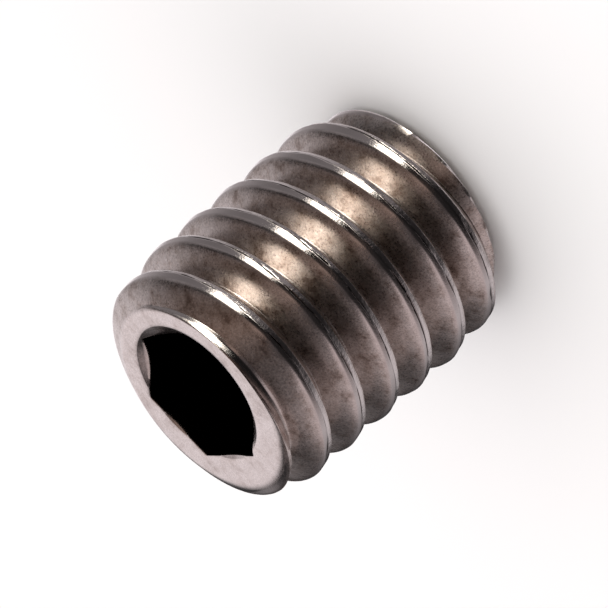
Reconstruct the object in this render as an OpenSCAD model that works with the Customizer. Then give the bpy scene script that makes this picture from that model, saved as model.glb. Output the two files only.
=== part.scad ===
// Socket set screw with a flat point: 5/16 inch, 18 threads to the inch, 3/8 inch long.
// The screw stands on its point, with the thread's axis on Z and the origin in the plane
// of the point's flat. The socket opens upwards. All sizes are in millimetres.

/* [Thread] */
// Diameter over the crests
major_d = 7.85; // [7.6:0.05:9]
// Rise of the helix in one turn
pitch = 1.411; // [1.1:0.001:1.6]
// Width of the crest, measured along the axis
crest_w = 0.34; // [0.16:0.01:0.4]
// Angle between the two flanks of the groove
flank_angle = 60; // [50:1:70]
// Radius at the bottom of the groove
root_r = 0.12; // [0.1:0.01:0.3]
// Turn of the whole helix about the axis
thread_start = 286; // [0:1:359]

/* [Drive end] */
// Length over both ends
length = 9.525; // [8:0.025:20]
// Diameter of the flat of the drive face
face_d = 6.15; // [5.5:0.05:6.4]
// Angle of the drive face's chamfer to the axis
face_chamfer_angle = 60; // [40:1:70]
// Rounding between the drive face and its chamfer
face_round = 0.5; // [0.1:0.05:0.6]
// Distance of the drive face's rim from the thread's axis, along X
face_offset_x = -0.17; // [-0.3:0.01:0.3]
// Distance of the drive face's rim from the thread's axis, along Y
face_offset_y = -0.1; // [-0.3:0.01:0.3]
// Diameter over the low first crests, if they reached the drive face
first_crest_d = 7.2; // [6.8:0.02:7.6]
// Depth below the drive face at which the crests have their full height
first_crest_l = 1.8; // [1.2:0.05:2.5]
// Distance of the low first crests from the thread's axis, along X
first_crest_offset_x = -0.06; // [-0.1:0.01:0.1]

/* [Socket] */
// Hexagon, measured across its flats
socket_af = 4.03; // [3:0.01:4.2]
// Depth of the hexagon below the drive face
socket_depth = 4; // [2:0.1:5]
// Distance of the hexagon from the thread's axis, along X
socket_offset_x = -0.07; // [-0.2:0.01:0.2]
// Distance of the hexagon from the thread's axis, along Y
socket_offset_y = 0.02; // [-0.2:0.01:0.2]
// Diameter of the countersink at the drive face
countersink_d = 4.6; // [4.3:0.05:5]
// Angle of the countersink's wall to the axis
countersink_angle = 55; // [40:1:75]
// Distance of the countersink from the thread's axis, along X
countersink_offset_x = 0.05; // [-0.2:0.01:0.2]
// Distance of the countersink from the thread's axis, along Y
countersink_offset_y = -0.18; // [-0.2:0.01:0.2]
// Angle across the cone that the drill leaves under the hexagon
drill_angle = 118; // [90:2:140]
// Turn of the hexagon about the axis
socket_turn = 8; // [0:1:59]

/* [Point] */
// Diameter of the point's flat
point_d = 5.7; // [5:0.05:6.2]
// Angle of the point's chamfer to the axis
point_chamfer_angle = 60; // [40:1:70]
// Rounding between the point's flat and its chamfer
point_round = 0.15; // [0.05:0.05:0.4]
// Distance of the point's flat from the thread's axis, along X
point_offset_x = 0.24; // [-0.3:0.01:0.3]
// Diameter over the low last crests, if they reached the point
last_crest_d = 6.9; // [6.6:0.02:7.6]
// Height above the point at which the crests have their full height
last_crest_l = 1.6; // [1.2:0.05:2.5]

/* [Hidden] */

// Straight steps in one turn of the thread
TURN_STEPS = 48;
// Straight steps across the rounding at the bottom of the groove
ROOT_STEPS = 4;
// Straight steps across the rounding of a rim
RIM_STEPS = 4;
// Facets asked of every round surface
ROUND = 96;
// How far a cutting form stands past what it cuts
PROUD = 0.1;

major_r = major_d / 2;
half_flank = flank_angle / 2;
face_offset = [face_offset_x, face_offset_y, 0];
first_crest_offset = [first_crest_offset_x, 0, 0];
socket_offset = [socket_offset_x, socket_offset_y, 0];
countersink_offset = [countersink_offset_x, countersink_offset_y, 0];
point_offset = [point_offset_x, 0, 0];

// The threaded rod is longer than the screw by more than one turn at each end
turns = ceil(length / pitch) + 3;
rod_foot = -2 * pitch;

// A point of a flat outline, at radius r and angle a from the centre c
function polar(c, r, a) = [c[0] + r * cos(a), c[1] + r * sin(a)];

// An arc from angle a0 to angle a1 about c, in equal steps
function arc(c, r, a0, a1, steps) = [for (k = [0:steps]) polar(c, r, a0 + (a1 - a0) * k / steps)];

// One pitch of the thread as [radius, height]: the crest first, then the groove above it.
// The flanks run on past the crests, and the blank trims them.
crest_half = crest_w / 2 - PROUD * tan(half_flank);
sharp_root_r = major_r - (pitch - crest_w) / 2 / tan(half_flank);
root_centre = [sharp_root_r + root_r / sin(half_flank), pitch / 2];
tooth = concat(
    [[major_r + PROUD, -crest_half], [major_r + PROUD, crest_half]],
    arc(root_centre, root_r, 270 - half_flank, 90 + half_flank, ROOT_STEPS)
);
tooth_n = len(tooth);

// Point j of the tooth, after i steps of the helix
function on_helix(i, j) =
    let (a = 360 * i / TURN_STEPS)
    [tooth[j][0] * cos(a), tooth[j][0] * sin(a), tooth[j][1] + rod_foot + pitch * i / TURN_STEPS];

// Number of that point; the last point of a tooth is the first of the tooth one turn on
function number(i, j) = j < tooth_n ? i * tooth_n + j : (i + TURN_STEPS) * tooth_n;

// The rod with its thread, closed at each end by a fan from the axis to the first and
// the last crest, and by a flat step where the helix begins and ends
module threaded_rod() {
    steps = TURN_STEPS * turns;
    points = concat(
        [for (i = [0:steps + TURN_STEPS], j = [0:tooth_n - 1]) on_helix(i, j)],
        [[0, 0, rod_foot], [0, 0, rod_foot + pitch * (turns + 1)]]
    );
    foot = len(points) - 2;
    head = len(points) - 1;
    wall = [
        for (i = [0:steps - 1], j = [0:tooth_n - 1])
            each [
                [number(i, j), number(i, j + 1), number(i + 1, j)],
                [number(i + 1, j), number(i, j + 1), number(i + 1, j + 1)],
            ]
    ];
    foot_fan = [for (i = [0:TURN_STEPS - 1]) [foot, number(i, 0), number(i + 1, 0)]];
    head_fan = [for (i = [0:TURN_STEPS - 1]) [head, number(steps + i + 1, 0), number(steps + i, 0)]];
    foot_step = [concat([foot], [for (j = [tooth_n:-1:0]) number(0, j)])];
    head_step = [concat([head], [for (j = [0:tooth_n]) number(steps, j)])];
    faces = concat(wall, foot_fan, head_fan, foot_step, head_step);
    polyhedron(points = points, faces = faces, convexity = 20);
}

// A blunt cone over the whole screw, standing on the end at height 0. Over the first and
// the last turns, where the dies don't fill the thread, it trims the crests.
module low_crests(end_d, full_l) {
    widening = (major_r - end_d / 2) / full_l;
    cylinder(h = length, r1 = end_d / 2, r2 = end_d / 2 + widening * length);
}

// A flat end at height 0 with its rounded edge and its chamfer, which flares downwards
// until it is clear of the thread
module chamfered_end(flat_d, chamfer_angle, edge_round) {
    setback = edge_round * tan((90 - chamfer_angle) / 2);
    flare_r = major_r + 1;
    flare_h = (flare_r - flat_d / 2) / tan(chamfer_angle);
    rotate_extrude()
        polygon(concat(
            [[0, -length - PROUD], [flare_r, -length - PROUD], [flare_r, -flare_h]],
            arc([flat_d / 2 - setback, -edge_round], edge_round, chamfer_angle, 90, RIM_STEPS),
            [[0, 0]]
        ));
}

// What is taken out of the drive end: countersink, hexagon and the drill's cone
module socket() {
    corner_r = socket_af / 2 / cos(30);
    drill_r = socket_af / 2;
    drill_h = drill_r / tan(drill_angle / 2);
    mouth_r = countersink_d / 2;
    mouth_h = mouth_r / tan(countersink_angle);

    translate(socket_offset - [0, 0, socket_depth])
        rotate([0, 0, socket_turn])
        cylinder(h = socket_depth + PROUD, r = corner_r, $fn = 6);
    translate(socket_offset - [0, 0, socket_depth + drill_h])
        cylinder(h = drill_h, r1 = 0, r2 = drill_r);
    translate(countersink_offset - [0, 0, mouth_h])
        cylinder(h = mouth_h, r1 = 0, r2 = mouth_r);
    translate(countersink_offset)
        cylinder(h = PROUD, r = mouth_r);
}

module set_screw() {
    color("#8c7f78")
        difference() {
            intersection($fn = ROUND) {
                cylinder(h = length, r = major_r);
                low_crests(last_crest_d, last_crest_l);
                translate([0, 0, length] + first_crest_offset)
                    mirror([0, 0, 1])
                    low_crests(first_crest_d, first_crest_l);
                translate([0, 0, length] + face_offset)
                    chamfered_end(face_d, face_chamfer_angle, face_round);
                translate(point_offset)
                    mirror([0, 0, 1])
                    chamfered_end(point_d, point_chamfer_angle, point_round);
                rotate([0, 0, thread_start])
                    threaded_rod();
            }
            translate([0, 0, length])
                socket($fn = ROUND);
        }
}

set_screw();
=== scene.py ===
import math

import bpy
import numpy as np
from mathutils import Matrix, Vector


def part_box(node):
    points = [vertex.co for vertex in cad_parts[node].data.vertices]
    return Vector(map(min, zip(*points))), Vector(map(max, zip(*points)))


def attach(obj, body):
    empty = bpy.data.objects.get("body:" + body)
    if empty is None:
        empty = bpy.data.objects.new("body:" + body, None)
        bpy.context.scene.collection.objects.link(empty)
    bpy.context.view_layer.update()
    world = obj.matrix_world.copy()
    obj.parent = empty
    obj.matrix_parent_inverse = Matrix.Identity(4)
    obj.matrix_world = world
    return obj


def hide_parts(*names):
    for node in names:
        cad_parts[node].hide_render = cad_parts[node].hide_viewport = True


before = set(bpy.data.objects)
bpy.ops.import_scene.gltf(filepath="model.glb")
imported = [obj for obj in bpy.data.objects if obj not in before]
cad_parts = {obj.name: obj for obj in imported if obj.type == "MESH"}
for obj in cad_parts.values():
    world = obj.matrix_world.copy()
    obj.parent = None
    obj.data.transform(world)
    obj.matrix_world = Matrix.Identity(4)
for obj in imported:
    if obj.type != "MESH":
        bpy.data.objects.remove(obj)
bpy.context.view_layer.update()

# ---- Camera ----------------------------------------------------------------------------
# A long lens, so that the screw shows almost no perspective. It looks down on the socket
# end and is rolled, so that the screw's axis runs from lower left to upper right.
MM = 0.001
VIEW_ELEVATION = math.radians(28.0)
AXIS_SLOPE = math.radians(40.3)
VIEW_DISTANCE = 700 * MM
FIELD_WIDTH = 17.36 * MM
AIM = Vector((0, 0, 4.94 * MM))

to_camera = Vector((0, -math.cos(VIEW_ELEVATION), math.sin(VIEW_ELEVATION)))
down_the_axis = Vector((0, -math.sin(VIEW_ELEVATION), -math.cos(VIEW_ELEVATION)))
across = Vector((-1, 0, 0))
right = math.cos(AXIS_SLOPE) * down_the_axis + math.sin(AXIS_SLOPE) * across
up = math.sin(AXIS_SLOPE) * down_the_axis - math.cos(AXIS_SLOPE) * across
camera_data = bpy.data.cameras.new("camera")
camera_data.lens = camera_data.sensor_width * VIEW_DISTANCE / FIELD_WIDTH
camera_data.clip_start = 1 * MM
camera = bpy.data.objects.new("camera", camera_data)
turn = Matrix((right, up, to_camera)).transposed()
camera.matrix_world = Matrix.Translation(AIM + to_camera * VIEW_DISTANCE) @ turn.to_4x4()
bpy.context.scene.collection.objects.link(camera)
bpy.context.scene.camera = camera
bpy.context.scene.view_settings.view_transform = "Standard"

# ---- Set screw: the thread -------------------------------------------------------------
# The screw is one piece of steel bar. Its thread is rolled between dies: metal flows up
# from the groove into the crest, where its two lips meet in a pitted seam. The dies don't
# fill the first and the last turn.

# Sizes are in millimetres. The front of a crest is its side towards the socket.
low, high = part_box("set_screw")
SCREW_LENGTH = high[2] / MM
MAJOR_R = (high[0] - low[0]) / 2 / MM
PITCH = 25.4 / 18
THREAD_START = math.radians(273)
CREST_FRONT = 0.13
CREST_BACK = 0.19
CREST_ROUND = 0.05
UPPER_FLANK = math.radians(44)
UPPER_BELLY = 0.85
LOWER_FLANK = math.radians(30)
FLANK_PROUD = 0.04
ROOT_R = 3.10
ROOT_BLEND = 0.06
GROOVE_WAVES = 0.008
FIRST_CREST_R = 7.24 / 2
FIRST_CREST_X = -0.06
FIRST_CREST_L = 1.8
LAST_CREST_R = 6.9 / 2
LAST_CREST_L = 1.6
RUNOUT_START = 0.06
RUNOUT_RISE = 0.24
RUNOUT_W = 0.4
RUNOUT_DEPTH = 0.18
RUNOUT_BELLY = 0.25
LEAST_R = 1

# The skin is a grid. Its columns stand round the axis, and the first of them runs down
# from a corner of the socket. Its rows climb with the helix.
COLUMNS = 360
SOCKET_TURN = math.radians(8)
angle = SOCKET_TURN + 2 * math.pi * np.arange(COLUMNS) / COLUMNS


def soft_min(a, b, blend):
    """The lesser of a and b. Where they differ by less than the blend, the corner between
    them is rounded: a weight h runs from 0 to 1 with their difference, the two are mixed
    by it, and blend * h * (1 - h) is taken off."""
    h = np.clip(0.5 + 0.5 * (b - a) / blend, 0, 1)
    return b * (1 - h) + a * h - blend * h * (1 - h)


def uneven(turn_angle, steps, seed):
    """An uneven line along the helix, between 0 and 1: random heights at even steps, this
    many to the turn, joined by straight lines. The line is 24 turns long, and 8 of them
    lie before the angle 0."""
    turns = 24
    turns_before = 8
    heights = np.random.default_rng(seed).random(turns * steps)
    place = turn_angle / (2 * math.pi) * steps + turns_before * steps
    return np.interp(place, np.arange(turns * steps), heights)


def reach(radius, centre):
    """Distance from the thread's axis, at each column's angle, to a circle of this radius
    whose centre lies beside the axis: the centre's share along the column's direction,
    plus the root of the radius squared less the centre's share across it squared."""
    c, s = np.cos(angle), np.sin(angle)
    if np.ndim(radius) == 2:
        c, s = c[:, None], s[:, None]
    along = centre[0] * c + centre[1] * s
    aside = centre[1] * c - centre[0] * s
    return along + np.sqrt(radius ** 2 - aside ** 2)


def cone(radius_at_0, slope, distance):
    """Radius of a cone at a distance from where it starts: it grows in proportion to the
    distance. It is kept from getting so small that the thread's axis lies outside it."""
    return np.maximum(radius_at_0 + distance * slope, LEAST_R)


def crest(z):
    """Radius of the crests at height z: full in the middle, falling in a straight line to
    the low first and last crests."""
    first = FIRST_CREST_R + (MAJOR_R - FIRST_CREST_R) * (SCREW_LENGTH - z) / FIRST_CREST_L
    last = LAST_CREST_R + (MAJOR_R - LAST_CREST_R) * z / LAST_CREST_L
    first = reach(np.maximum(first, LEAST_R), (FIRST_CREST_X, 0))
    return np.minimum(np.minimum(first, last), MAJOR_R)


def groove(rise, widening):
    """Radius of the groove at this rise above the middle of a crest. The flank over the
    crest bulges a little: it falls in proportion to the height, and to its square. The
    flank under the next crest is straight, and the widening moves it up. The greatest of
    the two and of the root's radius counts, and the corners between them are rounded."""
    over = rise - CREST_FRONT
    under = PITCH + widening - rise - CREST_BACK
    share = widening / RUNOUT_W
    belly = UPPER_BELLY + RUNOUT_BELLY * share
    flank_over = MAJOR_R + FLANK_PROUD - over / math.tan(UPPER_FLANK) - belly * np.maximum(over, 0) ** 2
    flank_under = MAJOR_R + FLANK_PROUD - under / math.tan(LOWER_FLANK)
    root = ROOT_R - RUNOUT_DEPTH * share
    corner = ROOT_BLEND * (1 + share)
    return -soft_min(soft_min(-flank_over, -flank_under, corner), -root, corner)


def runout_of(next_crest_z):
    """How far the groove is widened under a crest at this height: nothing while the crest
    is on the screw, then more and more, on a smooth step s * s * (3 - 2 * s)."""
    s = np.clip((next_crest_z - SCREW_LENGTH - RUNOUT_START) / RUNOUT_RISE, 0, 1)
    return RUNOUT_W * s * s * (3 - 2 * s)


# The rows of one pitch, from crest to crest: each stretch ends at a height and holds this
# many rows. They lie closest at the seam and at the root.
SEAM_TOP = 0.052
SEAM_FOOT = 0.11
ROOT_FOOT = 0.6
ROOT_TOP = 0.82
CREST_CORNER = 0.03
stretches = [
    (SEAM_TOP, 4),
    (CREST_FRONT + CREST_CORNER, 3),
    (ROOT_FOOT, 5),
    (ROOT_TOP, 7),
    (PITCH - CREST_BACK - CREST_CORNER, 3),
    (PITCH - SEAM_FOOT, 3),
    (PITCH, 8),
]
starts = [0] + [end for end, rows in stretches]
one_pitch = np.concatenate([
    np.linspace(start, end, rows, endpoint=False) for start, (end, rows) in zip(starts, stretches)
])
ROWS = len(one_pitch)
TURNS_OF_ROWS = math.ceil(SCREW_LENGTH / PITCH) + 4
row = np.arange(TURNS_OF_ROWS * ROWS + 1)
rise = one_pitch[row % ROWS]
nearer_next = rise > PITCH / 2
lift = PITCH * (angle - THREAD_START) / (2 * math.pi) - 2 * PITCH
thread_z = (row // ROWS * PITCH + rise)[None, :] + lift[:, None]
helix = 2 * math.pi * (row // ROWS + nearer_next)[None, :] + angle[:, None]
off_crest = np.where(nearer_next, rise - PITCH, rise)[None, :]
runout = runout_of(thread_z - rise[None, :] + PITCH)

# The seam lies behind the middle of the crest, sways once a turn and wanders. Its depth
# falls off on both sides as a bell curve. Pits lie along it, where two uneven lines,
# multiplied, and a finer one together come above a level.
SEAM_PLACE = -0.045
SEAM_SWAY = 0.045
SEAM_SWAY_FROM = math.radians(190)
SEAM_WANDER = 0.05
SEAM_DRIFT = 0.04
SEAM_W = 0.02
SEAM_NARROWEST = 0.6
SEAM_WIDER = 0.9
SEAM_DEPTH = 0.05
SEAM_SHALLOWEST = 0.25
SEAM_DEEPER = 1.2
PITS = 1.9
FINE_PITS = 0.5
PIT_LEVEL = 0.35

seam_pits = PITS * uneven(helix, 61, 1) * uneven(helix, 23, 2) + FINE_PITS * uneven(helix, 97, 3)
seam_pits = np.clip(seam_pits - PIT_LEVEL, 0, 1)
seam_line = SEAM_PLACE + SEAM_SWAY * np.cos(helix - SEAM_SWAY_FROM)
seam_line += SEAM_WANDER * (uneven(helix, 29, 4) - 0.5) + SEAM_DRIFT * (uneven(helix, 9, 5) - 0.5)
seam_w = SEAM_W * (SEAM_NARROWEST + SEAM_WIDER * uneven(helix, 41, 6))
seam = np.exp(-(((off_crest - seam_line) / seam_w) ** 2))
seam = seam * (SEAM_SHALLOWEST + SEAM_DEEPER * seam_pits)

# The two lips swell a little past the crest's size and slope away from the seam. The back
# lip is the lower and rougher one.
LIP_SWELL = 0.035
LIP_WEAR = 0.014
FRONT_LIP_SLOPE = 0.2
BACK_LIP_SLOPE = 0.27
BACK_LIP_DROP = 0.012
BACK_LIP_START = 0.03
BACK_LIP_ROUGH = 0.022
SMOOTHEST = 0.3
ROUGHER = 1.2
ROUGH_SLANT = 0.9

behind_seam = np.clip((seam_line - off_crest) / BACK_LIP_START, 0, 1)
rough_lip = ROUGHER * uneven(helix, 67, 7) * uneven(helix + ROUGH_SLANT * off_crest, 31, 8)
rough_lip = behind_seam * (SMOOTHEST + rough_lip)
worn = LIP_WEAR * uneven(helix, 17, 9)
back_lip = BACK_LIP_DROP + BACK_LIP_ROUGH * rough_lip
back_lip += BACK_LIP_SLOPE * np.maximum(seam_line - off_crest, 0)
front_lip = FRONT_LIP_SLOPE * np.maximum(off_crest - seam_line, 0)
crest_r = MAJOR_R + LIP_SWELL - SEAM_DEPTH * seam - worn - front_lip - back_lip * behind_seam
groove_r = groove(rise[None, :], runout) - GROOVE_WAVES * uneven(helix, 13, 10)
full_r = soft_min(crest_r, groove_r, CREST_ROUND)
fill = (crest(thread_z - off_crest) - ROOT_R) / (MAJOR_R - ROOT_R)
thread_r = ROOT_R + fill * (full_r - ROOT_R)

# ---- Set screw: the drive end ----------------------------------------------------------
# The bar is cut off and its edge is chamfered and tumbled round before the thread is
# rolled. The hexagon socket is punched into a drilled hole, and its mouth is countersunk.
FACE_R = 6.15 / 2
FACE_CHAMFER = math.radians(60)
FACE_ROUND = 0.5
FACE_CENTRE = (-0.17, -0.10)
RIM_BLEND = 0.12
RIM_STEPS = 8
SOCKET_AF = 4.03
SOCKET_DEPTH = 4.0
SOCKET_CENTRE = (-0.07, 0.02)
SOCKET_EDGE = 0.02
MOUTH_R = 4.6 / 2
MOUTH_CENTRE = (0.05, -0.18)
MOUTH_ANGLE = math.radians(55)
MOUTH_EDGE_R = 0.015
MOUTH_EDGE_W = 0.02
MOUTH_EDGE_DROP = 0.012
DRILL_ANGLE = math.radians(59)


def ring(radius, height, centre=(0, 0)):
    """Points at one height, one to a column, at this radius about a centre."""
    x = centre[0] + radius * np.cos(angle)
    y = centre[1] + radius * np.sin(angle)
    return np.stack([x, y, np.broadcast_to(height, angle.shape)], -1)


def rim_arc(flat_r, edge_round, chamfer, steps):
    """Radii and depths along a rounded rim, from the chamfer to the flat: an arc tangent
    to both, in equal steps of its angle."""
    setback = edge_round * math.tan((math.pi / 2 - chamfer) / 2)
    a = np.linspace(chamfer, math.pi / 2, steps + 1)
    return flat_r - setback + edge_round * np.cos(a), edge_round * (1 - np.sin(a))


def between(outer, inner, shares):
    """Rings between two rings, each at a share of the way from the outer to the inner."""
    return [outer + (inner - outer) * share for share in shares]


# The groove runs out through the rim, so each ring of the rim is cut by it in turn.
rim_r, rim_d = rim_arc(FACE_R, FACE_ROUND, FACE_CHAMFER, RIM_STEPS)
rim_z = SCREW_LENGTH - rim_d
rim_rise = (rim_z[None, :] - lift[:, None]) % PITCH
rim_off_crest = np.where(rim_rise > PITCH / 2, rim_rise - PITCH, rim_rise)
rim_groove = groove(rim_rise, runout_of(rim_z[None, :] - rim_rise + PITCH))
rim_fill = (crest(rim_z[None, :] - rim_off_crest) - ROOT_R) / (MAJOR_R - ROOT_R)
rim_limit = ROOT_R + rim_fill * (np.minimum(rim_groove, MAJOR_R) - ROOT_R)
rim_rings = [
    ring(soft_min(reach(r, FACE_CENTRE), limit, RIM_BLEND), z)
    for r, limit, z in zip(rim_r, rim_limit.T, rim_z)
]
face_cone = cone(FACE_R, math.tan(FACE_CHAMFER), SCREW_LENGTH - thread_z)

# A hexagon's radius is half its width over the flats, divided by the cosine of the angle
# from the middle of the nearest flat. Where it cuts the countersink, it lies lower.
hex_r = SOCKET_AF / 2 / np.cos((angle - SOCKET_TURN) % math.radians(60) - math.radians(30))
hexagon = ring(hex_r, 0, SOCKET_CENTRE)
from_mouth = hexagon[:, :2] - MOUTH_CENTRE
mouth_reach = np.hypot(from_mouth[:, 0], from_mouth[:, 1])
hexagon[:, 2] = SCREW_LENGTH - np.maximum(MOUTH_R - mouth_reach, 0) / math.tan(MOUTH_ANGLE)

# The mouth is the countersink's circle, or the hexagon where that reaches farther out. A
# narrow bevel goes round it.
mouth = hexagon.copy()
mouth[:, :2] = MOUTH_CENTRE + from_mouth * (np.maximum(MOUTH_R / mouth_reach, 1.0))[:, None]
mouth[:, :2] += MOUTH_EDGE_R * from_mouth / mouth_reach[:, None]
mouth[:, 2] = SCREW_LENGTH
mouth_edge = mouth.copy()
mouth_edge[:, :2] -= MOUTH_EDGE_W * from_mouth / mouth_reach[:, None]
mouth_edge[:, 2] -= MOUTH_EDGE_DROP
face_rings = rim_rings[1:] + between(rim_rings[-1], mouth, (0.25, 0.5, 0.75, 1.0))
face_rings += between(mouth_edge, hexagon, (0.0, 0.3, 0.6, 0.92))

# The socket's wall goes straight down from the hexagon to the cone that the drill left.
hex_foot = SCREW_LENGTH - SOCKET_DEPTH
drill_r = SOCKET_AF / 2
wall_top = hexagon - [0, 0, SOCKET_EDGE]
wall_foot = wall_top.copy()
wall_foot[:, 2] = hex_foot
socket_rings = between(wall_top, wall_foot, (0, 0.01, 0.04, 0.12, 0.3, 0.6, 1.0))
socket_rings += [
    ring(drill_r * t, hex_foot - drill_r * (1 - t) / math.tan(DRILL_ANGLE), SOCKET_CENTRE)
    for t in (1.0, 0.7, 0.4, 0.1, 0.02)
]
drill_tip = [[*SOCKET_CENTRE, hex_foot - drill_r / math.tan(DRILL_ANGLE)]]

# ---- Set screw: the point --------------------------------------------------------------
# The other end of the bar is cut flat, with a narrower chamfer and a sharper edge. Its
# flat lies beside the thread's axis.
POINT_R = 5.7 / 2
POINT_CHAMFER = math.radians(60)
POINT_ROUND = 0.15
POINT_CENTRE = (0.24, 0)
POINT_BLEND = 0.08
POINT_STEPS = 6
FLAT_RINGS = (2.1, 1.3, 0.4)

foot_r, foot_h = rim_arc(POINT_R, POINT_ROUND, POINT_CHAMFER, POINT_STEPS)
foot_rings = [ring(reach(r, POINT_CENTRE), h) for r, h in zip(foot_r, foot_h)]
foot_rings += [ring(r, 0, POINT_CENTRE) for r in FLAT_RINGS]
point_middle = [[*POINT_CENTRE, 0.0]]
point_cone = cone(POINT_R, math.tan(POINT_CHAMFER), thread_z)

# ---- Set screw: its skin ---------------------------------------------------------------
# Thread, drive end and point are one closed surface, as they are on the bar. The thread
# is cut by the cones of both chamfers, and ends at the outer rings of rim and point.
thread_r = soft_min(thread_r, reach(face_cone, FACE_CENTRE), RIM_BLEND)
thread_r = soft_min(thread_r, reach(point_cone, POINT_CENTRE), POINT_BLEND)
around = np.broadcast_to(angle[:, None], thread_z.shape)
thread = np.stack([thread_r * np.cos(around), thread_r * np.sin(around), thread_z], -1)
points = np.concatenate([
    foot_rings[0],
    rim_rings[0],
    thread.reshape(-1, 3),
    *face_rings,
    *socket_rings,
    drill_tip,
    *foot_rings[1:],
    point_middle,
])


def band(first, second):
    """Two triangles to a column between two rings of point numbers."""
    first_next, second_next = np.roll(first, -1), np.roll(second, -1)
    return np.concatenate([
        np.stack([first, first_next, second_next], -1),
        np.stack([first, second_next, second], -1),
    ])


# Each ring's point numbers follow those of the ring before. The grid's points above the
# rim or below the point share the number of the outer ring's point in their column.
column = np.arange(COLUMNS)
face_start = 2 * COLUMNS + thread_z.size
socket_start = face_start + COLUMNS * len(face_rings)
tip = socket_start + COLUMNS * len(socket_rings)
inward = [COLUMNS + column] + [first + column for first in range(face_start, tip, COLUMNS)]
middle = len(points) - 1
downward = [column] + [first + column for first in range(tip + 1, middle, COLUMNS)]
number = np.arange(thread_z.size).reshape(thread_z.shape) + 2 * COLUMNS
number = np.where(thread_z >= rim_z[0], (COLUMNS + column)[:, None], number)
number = np.where(thread_z <= foot_h[0], column[:, None], number)
here = number[:, :-ROWS]
beside = np.concatenate([number[1:, :-ROWS], number[:1, ROWS:]])
faces = np.concatenate([
    np.stack([here[:, :-1], beside[:, :-1], beside[:, 1:]], -1).reshape(-1, 3),
    np.stack([here[:, :-1], beside[:, 1:], here[:, 1:]], -1).reshape(-1, 3),
    *[band(outer, inner) for outer, inner in zip(inward, inward[1:])],
    np.stack([inward[-1], np.roll(inward[-1], -1), np.full(COLUMNS, tip)], -1),
    *[band(inner, outer) for outer, inner in zip(downward, downward[1:])],
    np.stack([np.roll(downward[-1], -1), downward[-1], np.full(COLUMNS, middle)], -1),
])

# The finish and painted shade at each point, from 0 to 1. The crests are rubbed bright, and
# so are the wall of the groove's wide end and, less so, the face. The back lips are crushed,
# where the chamfer hasn't cut them off. Painted shade darkens the seam, and the crushed back
# lips are darker where they are roughest. The socket is painted black as its shade.
CREST_POLISH_W = 0.22
WALL_POLISH_FOOT = 0.66
POLISH_FADE = 0.08
FACE_POLISH = 0.45
# How strongly the seam is darkened as painted shade, and how the roughest back lips darken.
SEAM_SHADE = 1.5
LIP_DARKENING = 0.35
DARK_LIP_FROM = 0.5

on_crest = np.clip((CREST_POLISH_W - np.abs(off_crest)) / POLISH_FADE, 0, 1)
on_wall = runout / RUNOUT_W * np.clip((rise[None, :] - WALL_POLISH_FOOT) / POLISH_FADE, 0, 1)
not_cut = reach(face_cone, FACE_CENTRE) > full_r
crushed = behind_seam * (off_crest > -CREST_BACK - CREST_CORNER) * not_cut
# The roughest crushed back lips are darkened in colour.
lip_darkening = LIP_DARKENING * crushed * np.clip(rough_lip - DARK_LIP_FROM, 0, 1)
finish_and_shade = {name: np.zeros(len(points)) for name in ("polish", "seam_shade_and_dark_lip", "painted_socket_shade", "crushed")}
finish_and_shade["polish"][2 * COLUMNS:face_start] = np.maximum(on_crest, on_wall).ravel()
finish_and_shade["polish"][face_start:socket_start] = FACE_POLISH
# The seam's darkening is painted shade; the crushed back lips are darker where roughest.
finish_and_shade["seam_shade_and_dark_lip"][2 * COLUMNS:face_start] = np.clip(seam * (SEAM_SHADE + seam_pits) + lip_darkening, 0, 1).ravel()
# The socket's black is painted shade.
finish_and_shade["painted_socket_shade"][socket_start + COLUMNS:tip + 1] = 1
finish_and_shade["crushed"][2 * COLUMNS:face_start] = crushed.ravel()

# Triangles with two corners in one point are left out, and so are unused points. Edges
# as sharp as those of the socket are shaded sharp.
SHARP_EDGE = math.radians(38)
whole = (faces[:, 0] != faces[:, 1]) & (faces[:, 1] != faces[:, 2]) & (faces[:, 0] != faces[:, 2])
used, faces = np.unique(faces[whole], return_inverse=True)
faces = faces.reshape(-1, 3)
mesh = bpy.data.meshes.new("set_screw_skin")
mesh.vertices.add(len(used))
mesh.vertices.foreach_set("co", (points[used] * MM).ravel())
mesh.loops.add(faces.size)
mesh.loops.foreach_set("vertex_index", faces.ravel())
mesh.polygons.add(len(faces))
mesh.polygons.foreach_set("loop_start", np.arange(0, faces.size, 3))
mesh.update(calc_edges=True)
mesh.validate()
mesh.polygons.foreach_set("use_smooth", np.ones(len(faces), bool))
mesh.set_sharp_from_angle(angle=SHARP_EDGE)
for name, share in finish_and_shade.items():
    mesh.attributes.new(name, "FLOAT", "POINT").data.foreach_set("value", share[used])
screw = bpy.data.objects.new("screw", mesh)
bpy.context.scene.collection.objects.link(screw)

# ---- Set screw: its steel --------------------------------------------------------------
# Plain rolled steel, not plated. A thin brown and grey scale lies on it in blotches and
# fine grain. It is rubbed off on the crests. The seam is darkened as painted shade, and the
# socket is painted black as its shade.
SCALE_TONES = [
    (0.34, (0.28, 0.22, 0.195)),
    (0.43, (0.51, 0.435, 0.40)),
    (0.51, (0.63, 0.56, 0.53)),
    (0.66, (0.74, 0.67, 0.645)),
]
BARE_STEEL = (0.66, 0.60, 0.585)
# Dark colour painted into the seam as its shade, and onto the roughest crushed back lips.
SEAM_SHADE_AND_DARK_LIP = (0.035, 0.028, 0.025)
# Near black, painted into the socket as its shade.
SOCKET_SHADE_COLOUR = (0.012, 0.008, 0.008)
GRAIN_RANGE = (0.3, 0.7)
SPECKLE = (0.62, 1.26)
MATT = (0.25, 0.34)
POLISHED = 0.11
GRAIN_HEIGHT = 0.01 * MM
PIT_HEIGHT = 0.02 * MM

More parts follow.
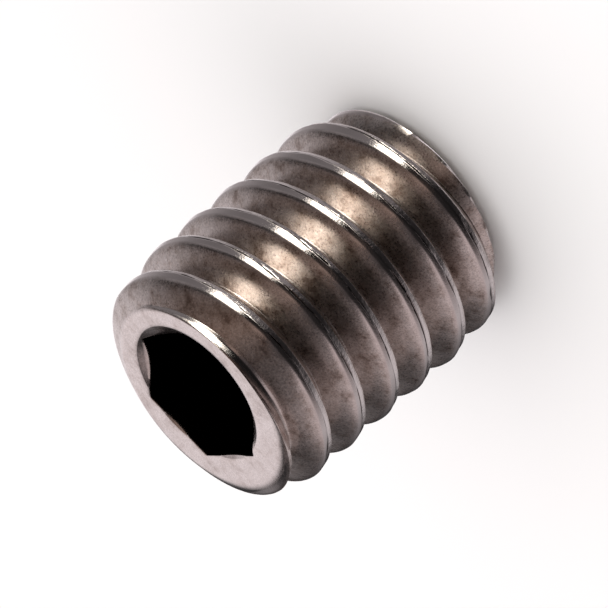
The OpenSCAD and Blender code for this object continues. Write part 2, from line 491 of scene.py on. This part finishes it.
steel = bpy.data.materials.new("rolled_steel")
steel.use_nodes = True
steel_nodes = steel.node_tree.nodes
steel_link = steel.node_tree.links.new
shader = steel_nodes["Principled BSDF"]
shader.inputs["Metallic"].default_value = 1


def add(nodes, kind, **settings):
    """A new node of this kind. A setting named after a socket fills the socket, and any
    other one is the node's own."""
    node = nodes.new("ShaderNode" + kind)
    for name, value in settings.items():
        if name in node.inputs:
            node.inputs[name].default_value = value
        else:
            setattr(node, name, value)
    return node


def colour_ramp(nodes, stops):
    """A colour ramp with these stops, each a place from 0 to 1 and a colour."""
    ramp = add(nodes, "ValToRGB")
    for i, (place, colour) in enumerate(stops):
        stop = ramp.color_ramp.elements[i] if i < 2 else ramp.color_ramp.elements.new(place)
        stop.position = place
        stop.color = (*colour, 1)
    return ramp


def into_range(value, old, new=(0, 1)):
    """The value moved in proportion from one range into another, and held inside it."""
    node = add(value.id_data.nodes, "MapRange")
    for name, limit in zip(("From Min", "From Max", "To Min", "To Max"), (*old, *new)):
        node.inputs[name].default_value = limit
    value.id_data.links.new(value, node.inputs["Value"])
    return node.outputs["Result"]


def laid_over(under, share, colour):
    """The colour under it, covered with another one in proportion to the share."""
    mix = add(steel_nodes, "Mix", data_type="RGBA")
    steel_link(share, mix.inputs[0])
    steel_link(under, mix.inputs[6])
    mix.inputs[7].default_value = (*colour, 1)
    return mix.outputs[2]


share_of = {name: add(steel_nodes, "Attribute", attribute_name=name).outputs["Fac"] for name in finish_and_shade}
where = add(steel_nodes, "TexCoord")
in_mm = add(steel_nodes, "Mapping", Scale=(1 / MM, 1 / MM, 1 / MM))
steel_link(where.outputs["Object"], in_mm.inputs["Vector"])
blotches = add(steel_nodes, "TexNoise", Scale=1.7, Detail=6, Roughness=0.72)
grain = add(steel_nodes, "TexNoise", Scale=17, Detail=3, Roughness=0.7)
pits = add(steel_nodes, "TexNoise", Scale=9, Detail=3, Roughness=0.6)
for texture in (blotches, grain, pits):
    steel_link(in_mm.outputs["Vector"], texture.inputs["Vector"])

tone = colour_ramp(steel_nodes, SCALE_TONES)
steel_link(blotches.outputs["Fac"], tone.inputs["Fac"])
speckled = add(steel_nodes, "VectorMath", operation="SCALE")
steel_link(tone.outputs["Color"], speckled.inputs[0])
steel_link(into_range(grain.outputs["Fac"], GRAIN_RANGE, SPECKLE), speckled.inputs["Scale"])
rubbed = laid_over(speckled.outputs["Vector"], share_of["polish"], BARE_STEEL)
# Painted shade darkens the seam and blackens the socket; the roughest crushed back lips are darker.
darkened = laid_over(rubbed, share_of["seam_shade_and_dark_lip"], SEAM_SHADE_AND_DARK_LIP)
steel_link(laid_over(darkened, share_of["painted_socket_shade"], SOCKET_SHADE_COLOUR), shader.inputs["Base Color"])

gloss = add(steel_nodes, "Mix", data_type="FLOAT")
steel_link(share_of["polish"], gloss.inputs[0])
steel_link(into_range(grain.outputs["Fac"], GRAIN_RANGE, MATT), gloss.inputs[2])
gloss.inputs[3].default_value = POLISHED
steel_link(gloss.outputs[0], shader.inputs["Roughness"])

relief = add(steel_nodes, "Bump", Strength=0.4, Distance=GRAIN_HEIGHT)
steel_link(grain.outputs["Fac"], relief.inputs["Height"])
pitted = add(steel_nodes, "Math", operation="MULTIPLY")
steel_link(pits.outputs["Fac"], pitted.inputs[0])
steel_link(share_of["crushed"], pitted.inputs[1])
deep_relief = add(steel_nodes, "Bump", Strength=0.6, Distance=PIT_HEIGHT)
steel_link(pitted.outputs[0], deep_relief.inputs["Height"])
steel_link(relief.outputs["Normal"], deep_relief.inputs["Normal"])
steel_link(deep_relief.outputs["Normal"], shader.inputs["Normal"])
mesh.materials.append(steel)
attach(screw, "root")
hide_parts("set_screw")

# ---- Floor -----------------------------------------------------------------------------
# A plain white table top, not glossy. The steel doesn't mirror it, because the studio's
# lights stand all round it.
HALF_FLOOR = 0.5
WHITE = (0.95, 0.95, 0.95, 1)
floor_mesh = bpy.data.meshes.new("floor")
corners = [(HALF_FLOOR * x, HALF_FLOOR * y, 0) for x, y in ((-1, -1), (1, -1), (1, 1), (-1, 1))]
floor_mesh.from_pydata(corners, [], [(0, 1, 2, 3)])
white = bpy.data.materials.new("white_table")
white.use_nodes = True
white_shader = white.node_tree.nodes["Principled BSDF"]
white_shader.inputs["Base Color"].default_value = WHITE
white_shader.inputs["Roughness"].default_value = 1
white_shader.inputs["Specular IOR Level"].default_value = 0
floor_mesh.materials.append(white)
floor = bpy.data.objects.new("floor", floor_mesh)
bpy.context.scene.collection.objects.link(floor)
floor.visible_glossy = False

# ---- Studio ----------------------------------------------------------------------------
# Soft light from all round, with warm white cloths and dark gaps between them, which
# give the metal its streaks. A broad lamp overhead lights the table.
TINTS = {
    "warm": (1.0, 0.98, 0.88),
    "mauve": (1.0, 0.94, 0.97),
    "rosy": (1.0, 0.87, 0.88),
    "tan": (1.0, 0.75, 0.65),
}
world = bpy.data.worlds.new("studio")
world.use_nodes = True
bpy.context.scene.world = world
sky_nodes = world.node_tree.nodes
sky_link = world.node_tree.links.new
heading = add(sky_nodes, "TexCoord")
parts = add(sky_nodes, "SeparateXYZ")
sky_link(heading.outputs["Generated"], parts.inputs[0])
toward_front = add(sky_nodes, "Math", operation="MULTIPLY")
toward_front.inputs[1].default_value = -1
sky_link(parts.outputs["Y"], toward_front.inputs[0])
bearing = add(sky_nodes, "Math", operation="ARCTAN2")
sky_link(parts.outputs["X"], bearing.inputs[0])
sky_link(toward_front.outputs[0], bearing.inputs[1])
round_it = into_range(bearing.outputs[0], (-math.pi, math.pi))
left_to_right = into_range(parts.outputs["X"], (-1, 1))


def cloths(value, low, high, stops):
    """Bands of light across a value that runs from low to high. Each stop is a place, a
    strength and a tint. Its light is strength times tint, and changes evenly between
    two stops."""
    ramp = colour_ramp(sky_nodes, [
        ((place - low) / (high - low), [strength * part for part in TINTS[tint]])
        for place, strength, tint in stops
    ])
    sky_link(value, ramp.inputs["Fac"])
    return ramp.outputs["Color"]


def blend(value, limits, first, second):
    """The first light where the value is below the limits, the second where it is above
    them, and an even change from one to the other between them."""
    node = add(sky_nodes, "Mix", data_type="RGBA")
    sky_link(into_range(value, limits), node.inputs[0])
    sky_link(first, node.inputs[6])
    sky_link(second, node.inputs[7])
    return node.outputs[2]


# Level and low down, the cloths are placed by their bearing from the front, in degrees.
around_foot = cloths(round_it, -180, 180, [
    (-180, 0.12, "mauve"), (-171, 0.04, "mauve"), (-155, 0.06, "mauve"), (-130, 0.26, "mauve"),
    (-98, 0.60, "mauve"), (-70, 0.33, "rosy"), (-60, 0.12, "rosy"), (-45, 0.015, "mauve"),
    (31, 0.015, "mauve"), (38, 6.5, "warm"), (54, 6.5, "warm"), (60, 0.22, "mauve"),
    (90, 0.18, "mauve"), (110, 0.22, "mauve"), (150, 0.45, "mauve"), (172, 1.0, "mauve"),
    (180, 0.9, "mauve"),
])
low_front = cloths(round_it, -180, 180, [
    (-180, 0.10, "mauve"), (-171, 0.02, "mauve"), (-155, 0.04, "mauve"), (-130, 0.26, "mauve"),
    (-98, 0.60, "mauve"), (-70, 0.31, "rosy"), (-60, 0.10, "rosy"), (-45, 0.010, "mauve"),
    (12, 0.010, "mauve"), (24, 2.5, "warm"), (35, 10.0, "warm"), (62, 8.5, "warm"),
    (76, 0.9, "warm"), (90, 0.50, "mauve"), (110, 0.45, "mauve"), (150, 0.70, "mauve"),
    (172, 1.2, "mauve"), (180, 0.9, "mauve"),
])
under_foot = cloths(round_it, -180, 180, [
    (-180, 0.3, "mauve"), (-109, 0.8, "mauve"), (-70, 0.25, "mauve"), (-45, 0.02, "mauve"),
    (12, 0.02, "mauve"), (29, 0.25, "mauve"), (52, 0.30, "mauve"), (92, 0.35, "mauve"),
    (133, 0.6, "mauve"), (180, 1.0, "mauve"),
])

# Overhead and behind, they are placed from left to right.
overhead = cloths(left_to_right, -1, 1, [
    (-1, 0.62, "rosy"), (-0.66, 0.62, "rosy"), (-0.58, 0.30, "rosy"), (-0.48, 0.16, "rosy"),
    (-0.36, 0.02, "rosy"), (-0.20, 0.10, "rosy"), (-0.08, 0.09, "rosy"), (0.0, 0.05, "tan"),
    (0.05, 0.36, "tan"), (0.10, 0.42, "tan"), (0.18, 0.26, "tan"), (0.40, 0.12, "tan"),
    (0.50, 0.10, "tan"), (0.58, 0.17, "tan"), (0.68, 0.20, "rosy"), (0.76, 0.02, "rosy"),
    (0.86, 0.02, "rosy"), (0.92, 0.2, "mauve"), (1, 0.3, "mauve"),
])
behind = cloths(left_to_right, -1, 1, [
    (-1, 0.2, "mauve"), (-0.62, 0.10, "mauve"), (-0.52, 0.02, "mauve"), (-0.43, 0.05, "mauve"),
    (-0.37, 0.30, "mauve"), (-0.30, 0.5, "mauve"), (-0.15, 0.88, "mauve"), (0.0, 1.0, "mauve"),
    (0.20, 1.05, "mauve"), (0.40, 0.75, "mauve"), (0.53, 0.70, "mauve"), (0.64, 0.45, "mauve"),
    (1, 0.32, "mauve"),
])

# Where one group of cloths gives way to the next, along Y and along Z.
FRONT_TO_BACK = (0.38, 0.62)
LOW_TO_LEVEL = (-0.54, -0.38)
LEVEL_TO_HIGH = (-0.15, 0.35)
FOOT_TO_LOW = (-0.64, -0.55)
LAMP_STRENGTH = 2.5
LAMP_SPREAD = math.radians(120)
high_light = blend(parts.outputs["Y"], FRONT_TO_BACK, overhead, behind)
level_light = blend(parts.outputs["Z"], LOW_TO_LEVEL, low_front, around_foot)
all_round = blend(parts.outputs["Z"], LEVEL_TO_HIGH, level_light, high_light)
sky = blend(parts.outputs["Z"], FOOT_TO_LOW, under_foot, all_round)
sky_link(sky, sky_nodes["Background"].inputs["Color"])

lamp_data = bpy.data.lights.new("table_lamp", "SUN")
lamp_data.energy = LAMP_STRENGTH
lamp_data.angle = LAMP_SPREAD
lamp = bpy.data.objects.new("table_lamp", lamp_data)
lamp.visible_glossy = False
bpy.context.scene.collection.objects.link(lamp)
